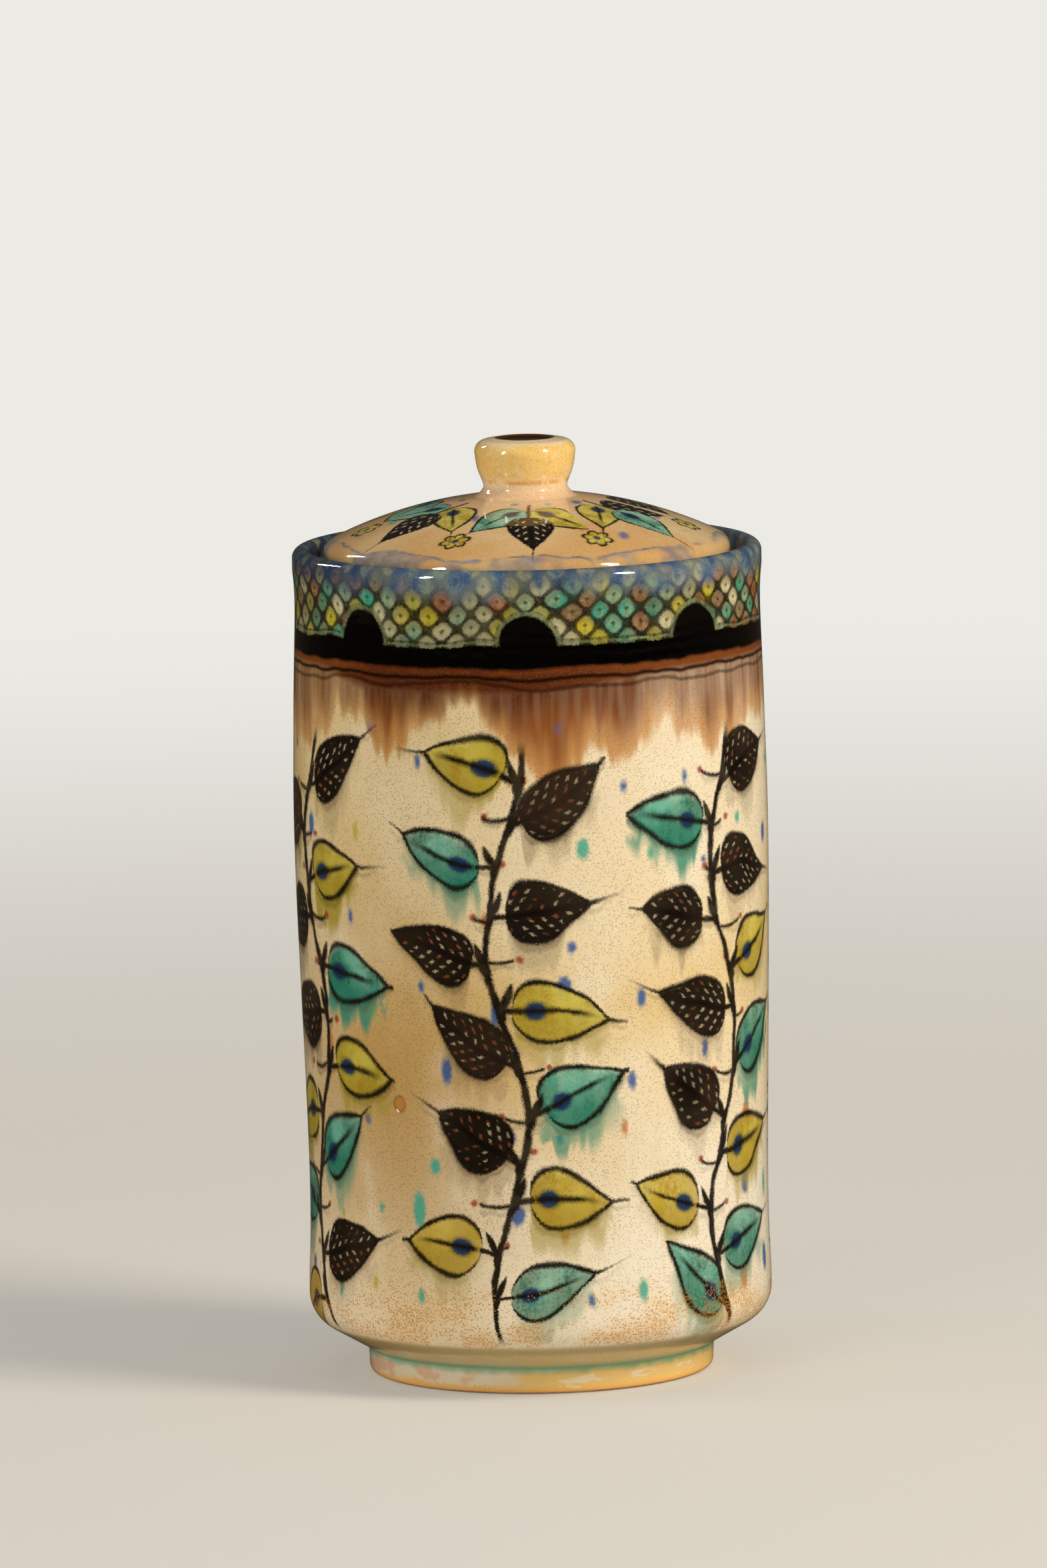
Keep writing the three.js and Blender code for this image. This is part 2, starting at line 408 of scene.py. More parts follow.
def makeSprays(layout):
    # Upright stems at even steps round the wall, each with alternate leaves and a berry above each leaf
    tree, around, level, soft, weight = newGroup(
        "uprightSprays", Around=0.0, Height=0.0, Softness=0.3, Weight=0.3)
    pitch, stalkLength = layout["leafPitch"], layout["leafStalk"]
    first, last = layout["firstLeaf"], layout["lastLeaf"]
    width = 2 * math.pi * layout["wallRadius"] / layout["columns"]
    around = around - layout["firstStem"] * layout["wallRadius"]
    column = floorOf(around / width + 0.5)
    across = around - column * width
    column = wrapped(column, layout["columns"])
    shift, phase, order = randomAt(column, 5.0, 11.0)
    height = level + shift * pitch

    def stemAt(spot):
        return sine(spot * (2 * math.pi / layout["stemWave"]) + phase * 6.3) * layout["stemSway"]

    # The leaf that grows here, on its own side of the stem: its foot, its slope and its bend
    offStem = across - stemAt(height)
    side = signOf(offStem)
    lag = (1 - side) * (pitch / 4)
    row = floorOf((height - lag) / pitch)
    lean, bend, length = randomAt(column, row, side)
    angle = lean * layout["leanSpread"] + layout["leastLean"]
    foot = row * pitch + lag + 9 - angle * 7
    rooted = foot - shift * pitch
    grown = isMore(rooted, first) * isLess(rooted, last)
    outX = side * (across - stemAt(foot))
    outZ = height - foot
    flat, steep = cosine(angle), sine(angle)
    along = outX * flat + outZ * steep
    sag = outZ * flat - outX * steep + (bend - 0.45) * along * along * 0.02
    leaf = useGroup(
        brushedLeaf,
        Across=sag,
        Along=along - stalkLength + length * 2.5,
        Length=layout["leafLength"] + (length - 0.5) * 5,
        Width=layout["leafWidth"] + (bend - 0.5) * 2,
        Softness=soft,
        Weight=weight,
    )
    thin = weight * 0.6 + 0.34
    stalk = ridge(sag, thin + 0.12 + soft * 0.6, thin - 0.15) * smooth(along, -0.4, 0.2)
    stalk = stalk * smooth(along, stalkLength + 0.6, stalkLength)
    kind = wrapped(row * 2 + (side + 1) / 2 + floorOf(order * 7), 7)
    dark = isNear(kind, 0) + isNear(kind, 2) + isNear(kind, 5)
    turquoise = isNear(kind, 1) + isNear(kind, 4)

    # A berry on a twig between two leaves
    berryX = outX - layout["berryReach"] - (bend - 0.5) * 3
    berryZ = outZ - pitch / 2 - 1
    berry = lengthOf(berryX, berryZ)
    twigGrown = grown * isLess(rooted, last - 8)
    twig = ridge(berryZ + 1.3 - outX * outX * 0.052, thin + soft * 0.6, 0.08) * smooth(outX, 4.6, 3.8)

    # The trunk, stouter where a leaf leaves it, and a bract above each leaf
    stout = 0.62 + weight * 0.8 + ridge(outZ, 3.2, 0.4) * grown * 0.9
    trunk = ridge(offStem, stout + 0.12 + soft * 0.4, stout - 0.3)
    trunk = trunk * smooth(level, first - 6, first - 3) * smooth(level, last + 10, last + 4)
    tip, wide = layout["bractLength"], layout["bractWidth"]
    share = smaller(larger(outZ / tip, 0.0), 1.0)
    bract = absolute(outX - 0.7 - share * wide) - (1 - share) * root(share) * wide
    bract = smooth(bract, soft * 0.6, -0.3) * smooth(outZ, 0.0, 0.6) * smooth(outZ, tip, tip - 0.5)
    body = leaf["Body"] * grown
    lines = larger(leaf["Outline"], leaf["Rib"], bract, stalk, twig * twigGrown)
    pool = larger(smooth(sag, 2.5, -5), smooth(along - stalkLength, 9, 2) * 0.8)
    return finishGroup(
        tree,
        Dark=body * dark,
        Turquoise=body * turquoise,
        Yellow=body * (1 - dark - turquoise),
        Lines=larger(lines * grown, trunk),
        Veins=leaf["Veins"] * body * dark,
        Blue=leaf["Dab"] * (1 - dark) * grown,
        Rust=smooth(berry, layout["berrySize"] + soft * 0.6, 0.4) * twigGrown,
        Pool=pool * body,
    )


borderLayout = {
    "radius": 60.0,
    "across": 100,
    "tall": 3.7,
    "bottom": 194.7,
    "lobes": 8,
    "lobeWidth": 7.6,
    "lobeHeight": 8.4,
    "gap": "5a6f4e",
    "fills": (("d3cda2", 0.0), ("c9bb2c", 0.26), ("a3583a", 0.46), ("3aa58c", 0.68), ("8fae8c", 0.86)),
}


def makeBorder(layout):
    # Lozenges set in a lattice under the rim, over a row of dark scallops
    tree, around, height = newGroup("lozengeBorder", Around=0.0, Height=0.0)
    girth = 2 * math.pi * layout["radius"]
    half = layout["across"] / 2
    level = (height - layout["bottom"]) / (layout["tall"] * 2)
    rising = around * (half / girth) + level
    falling = around * (half / girth) - level
    a = absolute(fraction(rising) - 0.5) * 2
    b = absolute(fraction(falling) - 0.5) * 2
    edge = (a ** 3 + b ** 3) ** 0.333
    pick, shade, _ = randomAt(wrapped(floorOf(rising), half), wrapped(floorOf(falling), half), 3.0)
    lobePitch = girth / layout["lobes"]
    lobeX = (fraction(around / lobePitch + 0.5) - 0.5) * lobePitch / layout["lobeWidth"]
    lobe = lengthOf(lobeX, (height - layout["bottom"] + 1) / layout["lobeHeight"])
    return finishGroup(
        tree,
        Color=blend(shade * shade * 0.6, colorSteps(pick, layout["fills"]), tone(layout["gap"])),
        Lines=larger(smooth(edge, 0.66, 0.92), smooth(larger(a, b), 0.26, 0.12) * 0.8),
        Scallop=smooth(lobe, 1.05, 0.95),
        Fringe=smooth(lobe, 1.2, 1.13),
    )


uprightSprays = makeSprays(sprayLayout)
lozengeBorder = makeBorder(borderLayout)
print("patterns ready")


# Glazes

def startGlaze(name):
    # A new material, the place on its piece in millimetres, and the angle, radius and height there
    material = bpy.data.materials.new(name)
    tree = clearTree(material)
    place = out(addNode(tree, "ShaderNodeTexCoord"), "Object")
    place = out(addNode(tree, "ShaderNodeVectorMath", {0: place, "Scale": 1 / mm}, operation="SCALE"))
    return material, place, *useGroup(unrolled, Place=place).values()


def finishGlaze(material, color, roughness, height, depth):
    # The colour over bumps that are depth millimetres deep
    tree = material.node_tree
    bump = addNode(tree, "ShaderNodeBump", {"Height": height, "Distance": depth * mm})
    shader = addNode(tree, "ShaderNodeBsdfPrincipled", {
        "Base Color": color, "Roughness": roughness, "Normal": out(bump)})
    addNode(tree, "ShaderNodeOutputMaterial", {"Surface": out(shader)})
    return material


def reliefOf(place, **settings):
    return useGroup(glazeRelief, Place=place, **settings)["Height"]


def washed(look, color, *washes):
    # Washes over a colour, one after another: (amount, colour, and the mode unless it is a plain mix).
    # A colour is a wire or a name in the look.
    def colorOf(named):
        return tone(look[named]) if isinstance(named, str) else named

    color = colorOf(color)
    for amount, over, *mode in washes:
        color = blend(amount, color, colorOf(over), *mode)
    return color


speckTones = {"fine": "80602e", "coarse": "4a2c14"}


def addSpecks(place, color, amount):
    specks = useGroup(ironSpecks, Place=place, Amount=amount)
    return washed(speckTones, color, (specks["Fine"] * 0.75, "fine"), (specks["Coarse"] * 0.8, "coarse"))


wallGlaze = {
    "cream": "f1deb4",
    "honey": "e0c07a",
    "tan": "bd9044",
    "milk": "f9f1de",
    "stain": (-0.7, 79.0),
    "stainSpread": 58.0,
    "heelGold": "e8b968",
    # painted bounce light for the lower left of the wall
    "paintedBounceLight": "ffeccb",
    "rust": "8c4c1a",
    "rustDeep": "571f03",
    "rustPale": "cc9658",
    "dripTop": 182.0,
    "splashColumns": 20,
    "dark": "0b0706",
    "darkMelted": "33261c",
    "darkRun": "5a4629",
    "turquoise": "7dc8b4",
    "turquoiseDeep": "16705c",
    "turquoiseRun": "37937c",
    "yellow": "dccf58",
    "yellowDeep": "a3851a",
    "yellowLow": "dba92c",
    "yellowRun": "ac9b38",
    "ink": "17110a",
    "vein": "e0cfa4",
    "veinWarm": "b0603a",
    "veinFleck": 2.6,
    "blue": "183562",
    "blueHalo": "4b7ca6",
    "berry": "a2381c",
    "latticeBottom": 192.4,
    "latticePale": "bdb68e",
    "latticeRun": "3d3a22",
    "latticeTan": "5d4a2c",
    "latticeInk": "1c170d",
    "edging": "1b1c10",
    "edgingHeight": 194.6,
    "greenLine": "8b9c6e",
    "greenLineHeight": 194.4,
    "band": "020101",
    "bandBottom": 188.3,
    "bandTop": 193.6,
    "rustLine": "8a400c",
    "hairline": "1c0a02",
    # (height, strength, unevenness)
    "hairlines": ((185.8, 0.93, 0.4), (183.9, 0.6, 1.6)),
    "cobalt": "3f5f8c",
    "cobaltPale": "98a190",
    # deep cobalt, also used as painted shade on the left of the wash
    "cobaltDeepAndShaded": "223a5c",
    "washBottom": 208.9,
    # olive glaze of the heel bevel, painted darker as shade on its downward face
    "olive": "b5a068",
    "freckle": "c98a34",
    "footCream": "f1e4c8",
    "footGold": "f8d48a",
    "footOchre": "ffca74",
    "footPink": "e8bb9a",
    "footMilk": "fbf1d8",
    "pool": "74b494",
    "blister": (-0.627, 76.2),
    "blisterRim": "8a5420",
    "blisterFloor": "c98a3c",
}


def makeWallGlaze(look):
    material, place, angle, _, height = startGlaze("painted_wall_glaze")
    sideways, upward, run, brush = useGroup(brushHand, Place=place).values()
    grain = useGroup(pigmentGrain, Place=place)["Density"]
    wallRadius = sprayLayout["wallRadius"]
    around = angle * wallRadius

    def awayFrom(spot, flatness):
        # Distance on the wall from a spot (angle, height), where heights count for less
        x = (angle - spot[0]) * wallRadius
        z = height - spot[1]
        return root(x * x + z * z * flatness)

    # Ground: cream slip under honey glaze, whiter low down and stained warmer on one side, with painted
    # bounce light on the lower left
    cloud = noiseAt(place, 48, 3)
    patch = noiseAt(place, 19, 2, 0.6)
    stain = smooth(awayFrom(look["stain"], 0.6) + (patch - 0.5) * 30, look["stainSpread"], 0)
    white = smooth(height + (patch - 0.5) * 60, 104, 30) * (smooth(angle, -0.7, 0.5) * 0.75 + 0.25)
    crowd = patches(place, 14, 3, 0.36, 0.6, 1.6) * smooth(height, 34, 20) * smooth(height, 12.5, 16)
    # Painted light: the lower left of the wall is lightened as if lit by light bounced up from the floor
    paintedBounceLight = smooth(height, 50, 16) * smooth(angle, -0.2, -1.0)
    pale = smooth(height + (patch - 0.5) * 30, 100, 155) * smooth(angle, -0.4, 0.4)
    color = washed(
        look, "cream",
        (white, "milk"),
        (smooth(cloud, 0.42, 0.68) * (0.68 - white * 0.6), "honey"),
        (stain * 0.74, "tan"),
        (smooth(patch, 0.5, 0.7) * 0.35, "milk"),
        (crowd * 0.42, "heelGold"),
        (paintedBounceLight * 0.75, "paintedBounceLight"),
        (pale * 0.6, "milk"),
    )

    # Rust slip run down from the band: wide tongues that end at uneven heights
    wide = patches(place, 27, 1, 0.36, 0.64, 0.05)
    narrow = patches(place, 5.6, 1.5, 0.32, 0.68, 0.12)
    streak = patches(place, 1.6, 1, 0.3, 0.7, 0.07)
    sparse = larger(smooth(angle, 0.0, 0.7), smooth(angle, -0.65, -1.1))
    reach = look["dripTop"] - (wide * 19 + narrow * 8) * (1 - sparse * 0.3) - streak * 1.6
    drip = 1 - (1 - smooth(height, reach - 2, reach + 3.5)) ** 2
    fresh = smooth(height + narrow * 5 + wide * 3, 176, 187) * (1 - sparse * 0.5)
    rust = washed(look, "rustPale", (smooth(height - reach, 0, 12), "rust"), (fresh, "rustDeep"))
    thick = 0.68 + wide * 0.2 + narrow * 0.14 - streak * 0.16 + (patch - 0.5) * 0.6 - sparse * 0.26
    thick = 1 - larger(1 - thick, 0.0) ** 2
    thick = larger(thick, smooth(height, 172 + sparse * 8, 184 + sparse * 4))
    splash = useGroup(
        colorSplashes,
        Across=around,
        Along=height,
        Pitch=2 * math.pi * wallRadius / look["splashColumns"],
        Count=look["splashColumns"],
        Share=0.85,
    )
    splashZone = smooth(height, 18, 26) * smooth(height, 176, 168)
    color = washed(
        look, color,
        (smaller(drip * thick, 0.985), rust),
        (splash["Mask"] * splashZone * 0.93, splash["Color"]),
    )
    color = addSpecks(place, color, 0.75)

    # Brushwork, first as it ran in the firing, then the marks themselves
    across = around + sideways
    level = height + upward
    melt = patches(place, 34, 1, 0.3, 0.6) * 0.5 + smooth(height, 22, 80) * 0.5

    def sprays(at, softness):
        return useGroup(uprightSprays, Around=across, Height=at, Softness=softness, Weight=brush)

    far = sprays(level + 1.5 + run * 8, 2.8)
    close = sprays(level + 0.5 + run * 1.8, 1.2)
    marks = sprays(level, 0.22 + melt * 0.95)
    strength = melt * 0.95
    for ran in (far, close):
        color = washed(
            look, color,
            (ran["Dark"] * strength * 0.4, "darkRun"),
            (ran["Yellow"] * strength, "yellowRun"),
            (ran["Turquoise"] * strength, "turquoiseRun"),
        )
    wet = smooth(grain, 0.45, 1.2)
    deep = patches(place, 9, 2, 0.4, 0.62)
    turquoise = washed(
        look, "turquoise",
        (wet * 0.35 + deep * 0.7, "turquoiseDeep"),
        (marks["Pool"] * 0.85, "turquoiseDeep"),
    )
    yellow = washed(
        look, "yellow",
        (wet * 0.4 + deep * 0.45, "yellowDeep"),
        (smooth(height, 75, 20) * 0.6, "yellowLow"),
        (marks["Pool"] * 0.65, "yellowDeep"),
    )
    faint = patches(place, 5, 2, 0.42, 0.6) * melt
    dark = washed(look, "dark", (melt * patches(place, 22, 1, 0.35, 0.65) * 0.9, "darkMelted"))
    fleck = randomAt(floorOf(across / look["veinFleck"]), floorOf(level / look["veinFleck"]), 1.0)[0]
    vein = washed(look, "vein", (smooth(fleck, 0.45, 0.5), "veinWarm"))
    color = washed(
        look, color,
        (close["Lines"] * melt * 0.4, "darkRun"),
        (marks["Turquoise"] * (0.66 + wet * 0.27), turquoise),
        (marks["Yellow"] * (0.7 + wet * 0.25), yellow),
        (marks["Blue"] * 0.8, "blueHalo", "MULTIPLY"),
        (smooth(marks["Blue"], 0.45, 0.95) * 0.92, "blue"),
        (marks["Rust"] * 0.9, "berry"),
        (marks["Lines"] * (0.99 - faint * 0.05), "ink"),
        (marks["Dark"] * 0.985, dark),
        (marks["Veins"] * smooth(fleck, 0.92, 0.6) * (0.78 - melt * 0.5), vein),
    )

    # Border under the rim, with a green line at its foot
    border = useGroup(lozengeBorder, Around=across, Height=level)
    melted = useGroup(lozengeBorder, Around=across, Height=level + 0.8 + run * 1.4)
    rim = border["Fringe"]
    edging = larger(rim, ridge(level - look["edgingHeight"], 0.95, 0.6))
    greenLine = larger(smooth(rim, 0.9, 1.0), ridge(level - look["greenLineHeight"], 0.45, 0.2))
    lattice = washed(
        look, blend(0.4, border["Color"], melted["Color"]),
        (wet * 0.4, "latticePale"),
        (melted["Lines"] * 0.3, "latticeRun"),
        (smooth(patch, 0.4, 0.65) * 0.25, "latticeTan"),
        (border["Lines"] * (0.84 + wet * 0.14), "latticeInk"),
        (edging * 0.6, "edging"),
        (greenLine * (0.25 + wet * 0.5), "greenLine"),
        (border["Scallop"], "band"),
    )

    # The black band over rust, with two hairlines below it
    bottom, top = look["bandBottom"], look["bandTop"]
    wavy = height + upward * 0.4 + (cloud - 0.5) * 2.4 + (narrow - 0.5) * 0.4
    slack = (wide - 0.5) * 1.2
    shine = ridge(wavy - bottom + 0.9, 0.55, 0.1) * patches(place, 7, 2, 0.38, 0.62, 0.3)
    hairlines = [
        (ridge(wavy - spot + slack * loose, 0.85, 0.1) * strength, "hairline")
        for spot, strength, loose in look["hairlines"]
    ]
    color = washed(
        look, color,
        (smooth(level, look["latticeBottom"] - 0.3, look["latticeBottom"] + 0.3), lattice),
        (shine * 0.5, "rustLine"),
        *hairlines,
        (smooth(wavy, bottom - 0.6, bottom + 0.5) * smooth(level, top + 0.35, top - 0.15), "band"),
    )

    # Cobalt wash that runs down from the lip, deeper in patches, with painted shade on its left side
    brushed = noiseAt(place, 4.5, 3, 0.6)
    powder = noiseAt(place, 0.7, 2)
    edge = look["washBottom"] - run * 1.2 - narrow * 2.2 + (wide - 0.5) * 2 + (powder - 0.5) * 4
    wash = smooth(height, edge - 3.2, edge + 2.8)
    wash = wash * (0.6 + smooth(brushed + powder * 0.5, 0.5, 0.95) * 0.38)
    # Painted shade: the cobalt turns deeper towards the left side, besides real deeper patches
    cobaltDepthAndShade = larger(patches(place, 16, 2, 0.45, 0.7) * 0.5, smooth(angle, -0.4, -1.1) * 0.9)
    cobalt = washed(
        look, "cobaltPale",
        (smooth(brushed + powder * 0.3, 0.4, 0.85), "cobalt"),
        (cobaltDepthAndShade, "cobaltDeepAndShaded"),
    )

    # Heel, freckles, foot, the glaze that pooled in the corner between them, and a burst bubble
    away, (chance, _, _) = cellsAt(place, 0.5)
    freckles = smooth(away, 0.7, 0.3) * smooth(chance, 1 - crowd, 1.2 - crowd)
    worn = noiseAt(place, 9, 3, 1.6)
    golden = smooth(angle + (worn - 0.5) * 1.6, -0.5, 0.1)
    foot = washed(
        look, "footCream",
        (golden, "footGold"),
        (smooth(worn, 0.48, 0.6) * (1 - golden) * 0.8, "footPink"),
        (patches(place, 8, 2, 0.56, 0.66, 4) * golden * 0.7, "footMilk"),
        (smooth(height + (worn - 0.5) * 3 + (powder - 0.5) * 2.5, 2.6, 1.4), "footOchre"),
    )
    pool = smooth(height + (run - 0.5) * 0.8, 4.6, 6.8) * smooth(height, 8.6, 7.0)
    blister = awayFrom(look["blister"], 0.7) + (noiseAt(place, 1.5, 1) - 0.5) * 0.6
    color = washed(
        look, color,
        (wash, cobalt),
        # Olive glaze on the heel bevel, painted darker as shade on its downward face
        (smooth(height, 14.9, 13.4) * 0.75, "olive"),
        (freckles * 0.6, "freckle"),
        (smooth(height, 7.0, 6.3), foot),
        (pool * 0.8, "pool"),
        (smooth(blister, 2.2, 1.6) * 0.6, "blisterRim"),
        (smooth(blister, 1.6, 1.1) * 0.85, "blisterFloor"),
    )
    relief = reliefOf(place) - smooth(blister, 2.4, 1.2) * 1.4
    return finishGlaze(material, color, patches(place, 26, 3, 0.2, 0.9) * 0.04 + 0.04, relief, 0.22)


insideGlaze = {"honey": "d6bf86", "olive": "7f8a57", "cobalt": "2c4a66", "cream": "e6d6a6"}


def makeInsideGlaze(look):
    material, place, _, _, height = startGlaze("inside_glaze")
    grain = useGroup(pigmentGrain, Place=place)["Density"]
    wash = smooth(height + noiseAt(place, 2.2, 2, 0.1) * 9, 203, 214)
    color = washed(
        look, "cream",
        (patches(place, 40, 2, 0.4, 0.65), "honey"),
        (wash * 0.85, washed(look, "olive", (smooth(grain, 0.4, 1.0), "cobalt"))),
    )
    return finishGlaze(material, addSpecks(place, color, 0.5), 0.07, reliefOf(place), 0.3)


clayLook = {"buff": "d8b48a", "pink": "c99877", "grit": "8a5f3c"}


def makeBareClay(look):
    material, place, *_ = startGlaze("bare_clay")
    color = washed(
        look, "buff",
        (patches(place, 14, 3, 0.35, 0.65), "pink"),
        (patches(place, 0.6, 2, 0.58, 0.7) * 0.6, "grit"),
    )
    return finishGlaze(material, color, 0.8, noiseAt(place, 0.9, 3), 0.3)


lidLook = {
    "honey": "deb072",
    "pink": "e6bb92",
    "cream": "ebd0a0",
    "wash": "7f94a4",
    "washDeep": "48618a",
    "washRadius": 50.4,
    "sprigs": 7,
    "sprigFoot": 21.5,
    "leafLength": 18.0,
    "leafWidth": 10.4,
    "leafTilt": 0.9,
    "flowerReach": 20.0,
    "flowerSize": 3.6,
}


def makeLidGlaze(look):
    material, place, angle, radius, _ = startGlaze("painted_lid_glaze")
    sideways, upward, _, brush = useGroup(brushHand, Place=place, Drift=1.2, Feather=0.2).values()
    grain = useGroup(pigmentGrain, Place=place, Streak=0.0)["Density"]
    x, y, _ = separated(place)
    splash = useGroup(colorSplashes, Across=x, Along=y, Pitch=9.5, Count=1000.0, Share=0.4)
    color = washed(
        look, "cream",
        (smooth(noiseAt(place, 30, 3) + radius * 0.006, 0.52, 0.9), "honey"),
        (smooth(radius, 34, 18) * 0.6, "pink"),
        (splash["Mask"] * smooth(radius, 47, 41) * 0.8, splash["Color"]),
    )
    color = addSpecks(place, color, 0.5)

    # Sprigs of three leaves that point outwards
    drawn = radius + upward
    step = 2 * math.pi / look["sprigs"]
    sector = floorOf(angle / step + 0.5)
    turn = angle - sector * step
    sector = wrapped(sector, look["sprigs"])
    turn = turn + (randomAt(sector, 2.0, 4.0)[0] - 0.5) * 0.16
    side = drawn * sine(turn) + sideways
    across = absolute(side)
    along = drawn * cosine(turn) - look["sprigFoot"]
    kind = wrapped(sector, 3)
    sideKind = wrapped(kind + 1 + smooth(signOf(side), -0.1, 0.1), 3)

    def leafAt(across, along):
        return useGroup(
            brushedLeaf, Across=across, Along=along, Length=look["leafLength"], Width=look["leafWidth"],
            Softness=0.2, Weight=brush)

    flat, steep = math.cos(look["leafTilt"]), math.sin(look["leafTilt"])
    middle = leafAt(across, along - 6)
    beside = leafAt(along * steep - across * flat, along * flat + across * steep - 1.5)
    clear = 1 - middle["Body"]
    stem = smooth(across, brush + 0.5, 0.2) * smooth(along, -4.6, -3.6) * smooth(along, 7, 6)

    def leavesOf(number):
        return larger(
            middle["Body"] * isNear(kind, number), beside["Body"] * isNear(sideKind, number) * clear)

    def onBoth(part):
        return larger(middle[part], beside[part] * clear)

    # A flower in each gap
    gap = floorOf(angle / step)
    gapTurn = angle - (gap + 0.5) * step
    flower = useGroup(
        brushedFlower,
        X=drawn * sine(gapTurn) + sideways,
        Y=drawn * cosine(gapTurn) - look["sprigFoot"] - look["flowerReach"],
        Size=look["flowerSize"],
        Turn=wrapped(gap, look["sprigs"]),
        Softness=0.2,
    )
    dark = leavesOf(0)
    dab = onBoth("Dab") * (1 - dark)
    veins = larger(middle["Veins"] * middle["Body"], beside["Veins"] * beside["Body"])
    wet = smooth(grain, 0.45, 1.2) * 0.5 + patches(place, 7, 2, 0.4, 0.62) * 0.4
    cover = 0.7 + grain * 0.25
    color = washed(
        wallGlaze, color,
        (leavesOf(1) * cover, washed(wallGlaze, "turquoise", (wet, "turquoiseDeep"))),
        (larger(leavesOf(2), flower["Body"]) * cover, washed(wallGlaze, "yellow", (wet, "yellowDeep"))),
        (dab * 0.8, "blueHalo", "MULTIPLY"),
        (larger(smooth(dab, 0.45, 0.95), flower["Heart"]) * 0.92, "blue"),
        (larger(onBoth("Outline"), onBoth("Rib"), stem, flower["Outline"]) * 0.97, "ink"),
        (dark * 0.985, "dark"),
        (veins * dark * 0.75, "vein"),
    )

    # Blue-grey wash in patches round the edge
    scallop = absolute(sine(angle * 4.5 + noiseAt(place, 25, 1) * 3))
    edge = radius - look["washRadius"] + scallop * 2.4 + (noiseAt(place, 6, 2) - 0.5) * 3
    wash = smooth(edge, -0.6, 0.8) * patches(place, 14, 2, 0.4, 0.56)
    stroke = ridge(edge - 0.4, 0.8, 0.2) * patches(place, 9, 1, 0.4, 0.55)
    blue = washed(look, "wash", (patches(place, 3, 2, 0.35, 0.65), "washDeep"))
    color = washed(look, color, (larger(wash * 0.6, stroke * 0.7), blue))
    return finishGlaze(material, color, 0.06, reliefOf(place, Peel=0.06), 0.18)


knobLook = {
    "honey": "ffda8c",
    "ochre": "f6c062",
    "cream": "fbe6c2",
    "neck": "efc8a0",
    "ring": "dc9a3c",
    "ringHeight": 3.9,
    "dish": "2b140a",
    "dishRim": "6b3f20",
    "dishRadius": 7.6,
}


def makeKnobGlaze(look):
    material, place, _, radius, height = startGlaze("knob_glaze")
    base, top, dishRadius = knobLow.z / mm, knobHigh.z / mm, look["dishRadius"]
    cloud = noiseAt(place, 8, 2, 2)
    worn = noiseAt(place, 5, 3)
    ring = ridge(height - base - look["ringHeight"] + (cloud - 0.5) * 0.8, 0.9, 0.2)
    color = washed(
        look, "honey",
        (smooth(cloud, 0.35, 0.75) * 0.6, "ochre"),
        (smooth(worn, 0.55, 0.68) * 0.5, "cream"),
        (smooth(height + (worn - 0.5) * 6, base + 6.6, base + 2.6) * 0.8, "cream"),
        (smooth(height, base + 3.2, base + 0.8) * 0.9, "neck"),
        (ring * smooth(worn, 0.42, 0.6) * 0.6, "ring"),
        (smooth(height + (worn - 0.5) * 1.5, top - 1.7, top - 0.6) * 0.85, "cream"),
    )
    color = addSpecks(place, color, 0.5)
    wobble = (noiseAt(place, 3, 2) - 0.5) * 0.6
    dish = smooth(radius + wobble, dishRadius + 0.5, dishRadius - 0.3) * smooth(height, top - 3, top - 2)
    dishColor = washed(look, "dish", (smooth(radius, dishRadius - 1.4, dishRadius), "dishRim"))
    color = washed(look, color, (dish, dishColor))
    return finishGlaze(material, color, 0.06, reliefOf(place, Pitch=2.2, Peel=0.04), 0.12)


bareClay = makeBareClay(clayLook)
insideCoat = makeInsideGlaze(insideGlaze)
wallCoat = makeWallGlaze(wallGlaze)
lidCoat = makeLidGlaze(lidLook)
knobCoat = makeKnobGlaze(knobLook)
print("glazes ready")


# Outlines of the turned pieces, in millimetres as (radius, height)

def corner(radius, height, fillet=0.0):
    return Vector((radius, height)), fillet


def plain(points):
    return [(at, 0.0) for at in points]


def roundCorners(corners, arcStep):
    outline = []
    for i, (at, fillet) in enumerate(corners):
        if not fillet:
            outline.append(at)
            continue
        back = (corners[i - 1][0] - at).normalized()
        ahead = (corners[i + 1][0] - at).normalized()
        half = back.angle(ahead) / 2
        centre = at + (back + ahead).normalized() * (fillet / math.sin(half))
        reach = fillet / math.tan(half)
        start = at + back * reach - centre
        stop = at + ahead * reach - centre
        sweep = math.pi - 2 * half
        steps = max(3, math.ceil(sweep * fillet / arcStep))
        for k in range(steps + 1):
            share = k / steps
            spoke = start * math.sin((1 - share) * sweep) + stop * math.sin(share * sweep)
            outline.append(centre + spoke / math.sin(sweep))
    return outline


def arcPoints(centre, radius, start, end, steps):
    angles = (start + (end - start) * k / steps for k in range(steps + 1))
    return [centre + Vector((math.cos(a), math.sin(a))) * radius for a in angles]


def throughPoints(points, steps):
    # A smooth curve through the points, with even steps between each pair
    curve = []
    last = len(points) - 1
    for i in range(last):
        before, here, there = points[max(i - 1, 0)], points[i], points[i + 1]
        leave = (there - before) / 2
        arrive = (points[min(i + 2, last)] - here) / 2
        cubic = (here - there) * 2 + leave + arrive
        square = (there - here) * 3 - leave * 2 - arrive
        for k in range(steps):
            t = k / steps
            curve.append(((cubic * t + square) * t + leave) * t + here)
    return curve + [points[-1]]


def fillRuns(outline, longest):
    # Points along the outline with no step longer than this, and without doubled points
    filled = [outline[0]]
    for at in outline[1:]:
        last = filled[-1]
        if (at - last).length < 0.01:
            continue
        pieces = math.ceil((at - last).length / longest)
        filled += [last.lerp(at, k / pieces) for k in range(1, pieces + 1)]
    return filled


